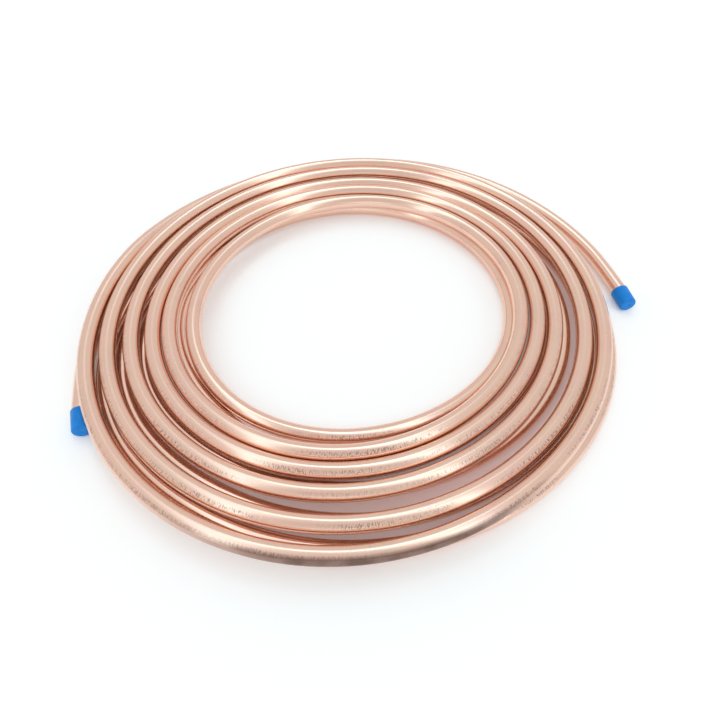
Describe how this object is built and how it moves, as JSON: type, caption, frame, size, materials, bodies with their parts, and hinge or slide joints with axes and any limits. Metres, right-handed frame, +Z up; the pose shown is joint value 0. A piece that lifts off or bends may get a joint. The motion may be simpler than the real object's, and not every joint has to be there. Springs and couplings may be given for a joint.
{
  "type": "copper tube coil",
  "caption": "Soft copper tube wound flat in two layers, with an open eye and a plastic cap on each end, lying on the floor.",
  "frame": {"origin": "on the floor, in the middle of the coil's footprint", "axes": "+Z up along the eye, +X along the longer side of the footprint, towards the upper layer's capped end"},
  "size_m": [0.6001, 0.574, 0.0321],
  "materials": {
    "copper": "satin drawn copper, pinkish, darker where turns meet",
    "cap_plastic": "satin moulded blue plastic"
  },
  "bodies": {
    "root": {"copper_tube": "copper", "end_cap_lower": "cap_plastic", "end_cap_upper": "cap_plastic"}
  },
  "joints": []
}
